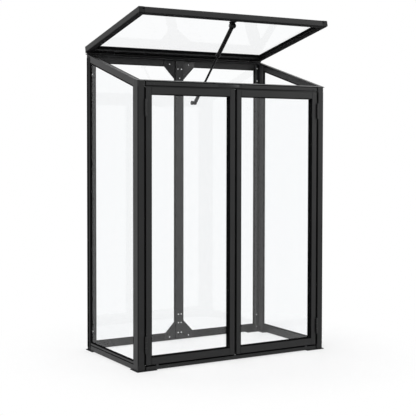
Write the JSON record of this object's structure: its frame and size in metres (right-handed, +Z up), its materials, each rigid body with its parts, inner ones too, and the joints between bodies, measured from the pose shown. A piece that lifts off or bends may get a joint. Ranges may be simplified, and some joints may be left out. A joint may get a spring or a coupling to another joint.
{
  "type": "glass greenhouse cabinet",
  "caption": "Small free-standing greenhouse cabinet with a slim dark metal frame, clear glass walls, hinged glass doors and a sloped glazed roof lid held open by a telescopic stay.",
  "frame": {"origin": "middle of the footprint, on the floor under the feet", "axes": "+Z up, the doors face -Y, the lid hinges at +Y, +X is to the right seen from the front"},
  "size_m": [0.776, 0.4306, 1.2069],
  "materials": {
    "frame_metal": "satin powder coat",
    "hinge_metal": "satin powder coat",
    "gusset_metal": "satin powder coat",
    "stay_metal": "semi-gloss paint",
    "stay_rod_metal": "dark burnished metal",
    "foot_plastic": "matte",
    "glass": "clear float glass"
  },
  "bodies": {
    "frame": {"front_left_post": "frame_metal", "front_right_post": "frame_metal", "rear_left_post": "frame_metal", "rear_right_post": "frame_metal", "front_sill": "frame_metal", "front_lintel": "frame_metal", "rear_bottom_rail": "frame_metal", "rear_top_rail": "frame_metal", "left_bottom_rail": "frame_metal", "right_bottom_rail": "frame_metal", "left_roof_rail": "frame_metal", "right_roof_rail": "frame_metal", "rear_mullion": "frame_metal", "upper_gusset": "gusset_metal", "lower_gusset": "gusset_metal", "corner_feet": "foot_plastic", "left_pane": "glass", "right_pane": "glass", "rear_left_pane": "glass", "rear_right_pane": "glass", "left_post_hinges": "hinge_metal", "right_post_hinges": "hinge_metal", "roof_hinges": "hinge_metal"},
    "left_door": {"left_door_hinge_stile": "frame_metal", "left_door_meeting_stile": "frame_metal", "left_door_top_rail": "frame_metal", "left_door_bottom_rail": "frame_metal", "left_door_pane": "glass", "left_door_hinges": "hinge_metal"},
    "right_door": {"right_door_hinge_stile": "frame_metal", "right_door_meeting_stile": "frame_metal", "right_door_top_rail": "frame_metal", "right_door_bottom_rail": "frame_metal", "right_door_pane": "glass", "right_door_hinges": "hinge_metal"},
    "lid": {"lid_left_bar": "frame_metal", "lid_right_bar": "frame_metal", "lid_front_bar": "frame_metal", "lid_rear_bar": "frame_metal", "lid_pane": "glass", "lid_hinges": "hinge_metal", "stay_bracket": "stay_metal"},
    "stay_tube": {"stay_tube": "stay_metal"},
    "stay_rod": {"stay_rod": "stay_rod_metal", "stay_ball_end": "stay_metal"}
  },
  "joints": [
    {"name": "left_door_hinge", "type": "hinge", "parent": "frame", "child": "left_door", "pos_m": [-0.3555, -0.2065, 0], "axis": [0, 0, -1], "range_deg": [0, 180]},
    {"name": "right_door_hinge", "type": "hinge", "parent": "frame", "child": "right_door", "pos_m": [0.3555, -0.2065, 0], "axis": [0, 0, 1], "range_deg": [0, 180]},
    {"name": "lid_hinge", "type": "hinge", "parent": "frame", "child": "lid", "pos_m": [0, 0.20567, 1.09028], "axis": [-1, 0, 0], "range_deg": [-29, 0]},
    {"name": "stay_swing", "type": "hinge", "parent": "lid", "child": "stay_tube", "pos_m": [0, -0.18185, 1.16953], "axis": [-1, 0, 0], "range_deg": [-2.35, 0]},
    {"name": "stay_slide", "type": "slide", "parent": "stay_tube", "child": "stay_rod", "axis": [0, 0.7055, -0.7087], "range_m": [-0.1105, 0]}
  ],
  "couplings": [
    {"joint": "stay_swing", "follows": "lid_hinge", "ratio": 0.08032},
    {"joint": "stay_slide", "follows": "lid_hinge", "m_per_rad": 0.21782}
  ]
}
